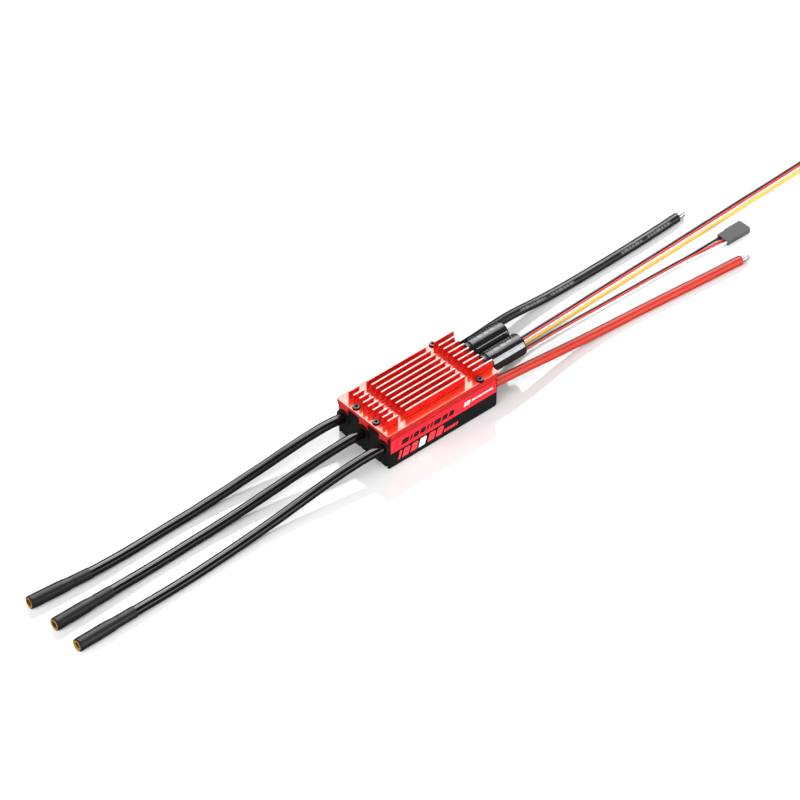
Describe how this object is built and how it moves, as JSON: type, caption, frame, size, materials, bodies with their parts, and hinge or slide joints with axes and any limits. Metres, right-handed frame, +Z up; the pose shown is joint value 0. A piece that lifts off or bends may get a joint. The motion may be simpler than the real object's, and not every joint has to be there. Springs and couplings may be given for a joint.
{
  "type": "electronic speed controller",
  "caption": "Brushless motor speed controller: a finned red heatsink cover on a black case, with capacitors, motor leads with bullet sockets, battery leads and flat signal leads.",
  "frame": {"origin": "middle of the case's flat underside, on the surface that the case stands on", "axes": "+X along the case from the motor leads to the battery leads, +Z up out of the fins, +Y across"},
  "size_m": [0.561, 0.0511, 0.027],
  "materials": {
    "case": "moulded plastic, satin black",
    "heatsink": "polished and anodised red",
    "screw": "black oxide",
    "label": "printed film, satin",
    "thermal_pad": "soft, matte",
    "board": "solder mask",
    "chip": "moulded epoxy",
    "shunt": "bare metal",
    "ceramic": "fired ceramic",
    "pin": "gold plated",
    "coil": "ferrite",
    "grommet": "moulded rubber",
    "can": "drawn aluminium",
    "sleeve": "shrunk film, glossy",
    "tinned_copper": "tinned strands",
    "wire_black": "silicone, glossy",
    "wire_negative": "silicone, satin",
    "wire_red": "silicone, satin",
    "socket": "gold plated",
    "heat_shrink": "shrunk tube, satin",
    "lead_red": "extruded vinyl",
    "lead_black": "extruded vinyl",
    "lead_white": "extruded vinyl",
    "lead_yellow": "extruded vinyl",
    "plug": "moulded plastic",
    "print": "screen-printed ink"
  },
  "bodies": {
    "root": {"lower_case": "case", "heatsink": "heatsink", "cover_screws": "screw", "front_label": "label", "back_label": "label", "thermal_pad": "thermal_pad", "power_board": "board", "mosfets": "chip", "current_shunts": "shunt", "ceramic_capacitors": "ceramic", "control_board": "board", "board_headers": "pin", "microcontroller": "chip", "gate_drivers": "chip", "regulator_coil": "coil", "port_grommets": "grommet", "capacitor_1": "can", "capacitor_2": "can", "capacitor_sleeve_1": "sleeve", "capacitor_sleeve_2": "sleeve", "capacitor_leads": "tinned_copper", "phase_wire_1": "wire_black", "phase_wire_2": "wire_black", "phase_wire_3": "wire_black", "phase_wire_cores": "tinned_copper", "bullet_socket_1": "socket", "bullet_socket_2": "socket", "bullet_socket_3": "socket", "heat_shrink_1": "heat_shrink", "heat_shrink_2": "heat_shrink", "heat_shrink_3": "heat_shrink", "battery_wire_negative": "wire_negative", "battery_wire_positive": "wire_red", "battery_wire_cores": "tinned_copper", "tinned_end_negative": "tinned_copper", "tinned_end_positive": "tinned_copper", "throttle_lead": "lead_red", "throttle_plug": "plug", "throttle_contacts": "pin", "program_lead": "lead_red", "program_plug": "plug", "program_contacts": "pin"}
  },
  "joints": []
}
